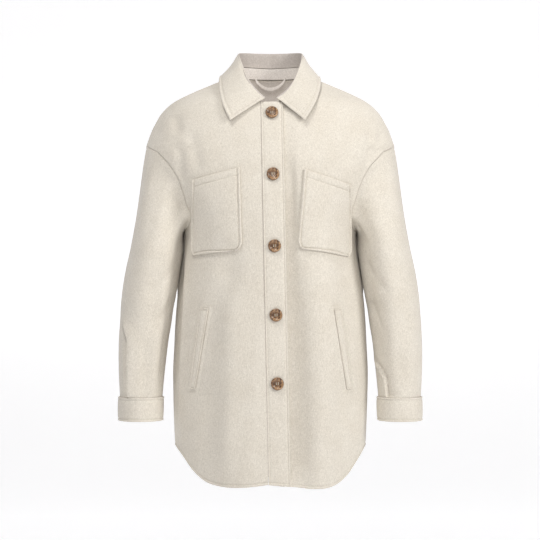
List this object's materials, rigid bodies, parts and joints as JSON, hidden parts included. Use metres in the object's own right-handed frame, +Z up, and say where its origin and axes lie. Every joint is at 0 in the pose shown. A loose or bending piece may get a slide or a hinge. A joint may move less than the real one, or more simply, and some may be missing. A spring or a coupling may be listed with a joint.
{
  "type": "shacket",
  "caption": "Hip-length overshirt jacket with dropped shoulders, a turned-down collar, patch chest pockets, slanted side welts and a curved hem, hollow as worn.",
  "frame": {"origin": "on the middle plane, level with the neck seam where it meets the shoulder seams, where the wearer's shoulders hold the garment up", "axes": "+X is the wearer's left, -Y is the front, +Z is up"},
  "size_m": [0.559, 0.2494, 0.8047],
  "materials": {
    "wool_cloth": "cream felted wool-blend twill, matt, with a faint upright weave",
    "horn_button": "mottled brown horn-look resin, polished rim"
  },
  "bodies": {
    "root": {"front_right": "wool_cloth", "front_left": "wool_cloth", "placket": "wool_cloth", "back": "wool_cloth", "sleeve_right": "wool_cloth", "sleeve_left": "wool_cloth", "cuff_right": "wool_cloth", "cuff_left": "wool_cloth", "collar_stand": "wool_cloth", "collar_leaf": "wool_cloth", "pocket_right": "wool_cloth", "pocket_left": "wool_cloth", "welt_right": "wool_cloth", "welt_left": "wool_cloth", "hanger_loop": "wool_cloth", "button_1": "horn_button", "button_2": "horn_button", "button_3": "horn_button", "button_4": "horn_button", "button_5": "horn_button"}
  },
  "joints": []
}
